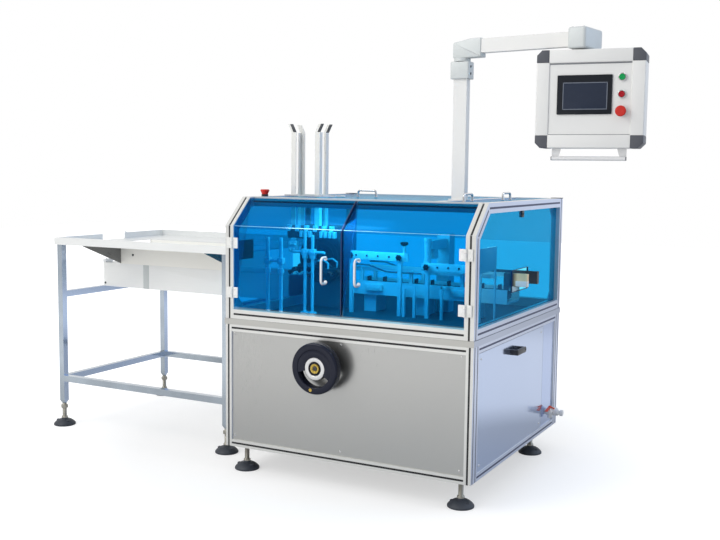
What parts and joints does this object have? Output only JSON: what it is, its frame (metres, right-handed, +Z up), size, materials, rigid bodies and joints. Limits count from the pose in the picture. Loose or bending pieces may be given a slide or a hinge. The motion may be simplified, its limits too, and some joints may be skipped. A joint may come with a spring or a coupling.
{
  "type": "automatic cartoner",
  "caption": "Packaging machine that opens and fills cartons: profile cabinet with blue guard doors, steel infeed table, handwheel, and a control panel on a swing arm.",
  "frame": {"origin": "centre of the bottom of the whole machine, on the floor", "axes": "+Z up; +X along the machine, from the infeed table to the control panel; +Y from the operator's side to the back"},
  "size_m": [2.8442, 1.169, 1.824],
  "materials": {
    "profile": "satin anodised",
    "strip": "matt black insert",
    "stainless": "brushed",
    "plate": "milled",
    "acrylic": "clear blue sheet",
    "black_plastic": "matt",
    "foot_rubber": "matt",
    "bright_steel": "plated",
    "hinge": "powder coated",
    "pull": "gloss white",
    "machine_steel": "ground",
    "dark_steel": "dark enamel",
    "chain": "matt",
    "cream": "matt",
    "cup": "matt",
    "cream_paint": "satin",
    "casting": "satin",
    "corner_grey": "matt",
    "screen": "gloss",
    "green": "gloss",
    "red": "gloss",
    "brass": "polished",
    "wheel": "polished phenolic",
    "orange": "gloss",
    "table_steel": "polished"
  },
  "bodies": {
    "machine": {"base_posts": "profile", "base_rails": "profile", "slot_strips": "strip", "bed_plate": "plate", "base_panels": "stainless", "side_cover": "stainless", "cover_handle": "black_plastic", "base_tray": "plate", "foot_studs": "bright_steel", "foot_pads": "foot_rubber", "guard_posts": "profile", "guard_slopes": "profile", "guard_rails": "profile", "guard_sides": "profile", "windows": "acrylic", "top_covers": "acrylic", "top_handles": "bright_steel", "door_hinges": "hinge", "magazine_rails": "table_steel", "magazine_bar": "profile", "conveyor_frame": "machine_steel", "conveyor_chain": "chain", "guide_rails": "machine_steel", "conveyor_stands": "plate", "discharge_guides": "cream", "closing_unit": "machine_steel", "feeder_stand": "dark_steel", "wheel_bearing": "machine_steel", "valve_body": "cream_paint", "control_post": "cream_paint", "post_collar": "casting", "stop_base": "black_plastic", "table_legs": "table_steel", "table_rails": "table_steel", "table_tray": "table_steel", "feed_box": "table_steel", "trough_plates": "cream_paint"},
    "left_door": {"left_door": "acrylic", "left_hardware": "pull"},
    "right_door": {"right_door": "acrylic", "right_hardware": "pull"},
    "handwheel": {"handwheel": "wheel", "wheel_hub": "bright_steel", "wheel_brass": "brass"},
    "feeder": {"feeder_rotor": "dark_steel", "suction_cups": "cup"},
    "arm": {"arm_tube": "cream_paint", "arm_castings": "casting"},
    "panel": {"panel_case": "cream_paint", "panel_corners": "corner_grey", "panel_face": "cream_paint", "panel_screen": "screen", "panel_handle": "hinge", "button_rings": "bright_steel"},
    "start_button": {"start_button": "green"},
    "stop_button": {"stop_button": "red"},
    "panel_stop": {"panel_stop": "red"},
    "deck_stop": {"deck_stop": "red"},
    "valve_lever": {"valve_lever": "orange"}
  },
  "joints": [
    {"name": "left_door_hinge", "type": "hinge", "parent": "machine", "child": "left_door", "pos_m": [-0.19107, -0.5215, 0.876], "axis": [0, 0, -1], "range_deg": [0, 110]},
    {"name": "right_door_hinge", "type": "hinge", "parent": "machine", "child": "right_door", "pos_m": [0.85693, -0.5215, 0.876], "axis": [0, 0, 1], "range_deg": [0, 110]},
    {"name": "handwheel_spin", "type": "hinge", "parent": "machine", "child": "handwheel", "pos_m": [0.24693, -0.5635, 0.501], "axis": [0, 1, 0], "continuous": true},
    {"name": "feeder_spin", "type": "hinge", "parent": "machine", "child": "feeder", "pos_m": [-0.03707, -0.0935, 0.89], "axis": [0, 1, 0], "continuous": true},
    {"name": "arm_swivel", "type": "hinge", "parent": "machine", "child": "arm", "pos_m": [0.66092, -0.1135, 1.731], "axis": [0, 0, 1], "range_deg": [-80, 80]},
    {"name": "panel_swivel", "type": "hinge", "parent": "arm", "child": "panel", "pos_m": [1.18366, -0.1879, 1.742], "axis": [0, 0, 1], "range_deg": [-90, 90]},
    {"name": "start_press", "type": "slide", "parent": "panel", "child": "start_button", "axis": [-0.1219, 0.9925, 0], "range_m": [0, 0.003], "stiffness_N_per_m": 300},
    {"name": "stop_press", "type": "slide", "parent": "panel", "child": "stop_button", "axis": [-0.1219, 0.9925, 0], "range_m": [0, 0.003], "stiffness_N_per_m": 300},
    {"name": "panel_stop_press", "type": "slide", "parent": "panel", "child": "panel_stop", "axis": [-0.1219, 0.9925, 0], "range_m": [0, 0.004]},
    {"name": "deck_stop_press", "type": "slide", "parent": "machine", "child": "deck_stop", "axis": [0, 0, -1], "range_m": [0, 0.004]},
    {"name": "valve_turn", "type": "hinge", "parent": "machine", "child": "valve_lever", "pos_m": [0.90892, 0.4265, 0.212], "axis": [0, 0, 1], "range_deg": [0, 90]}
  ]
}
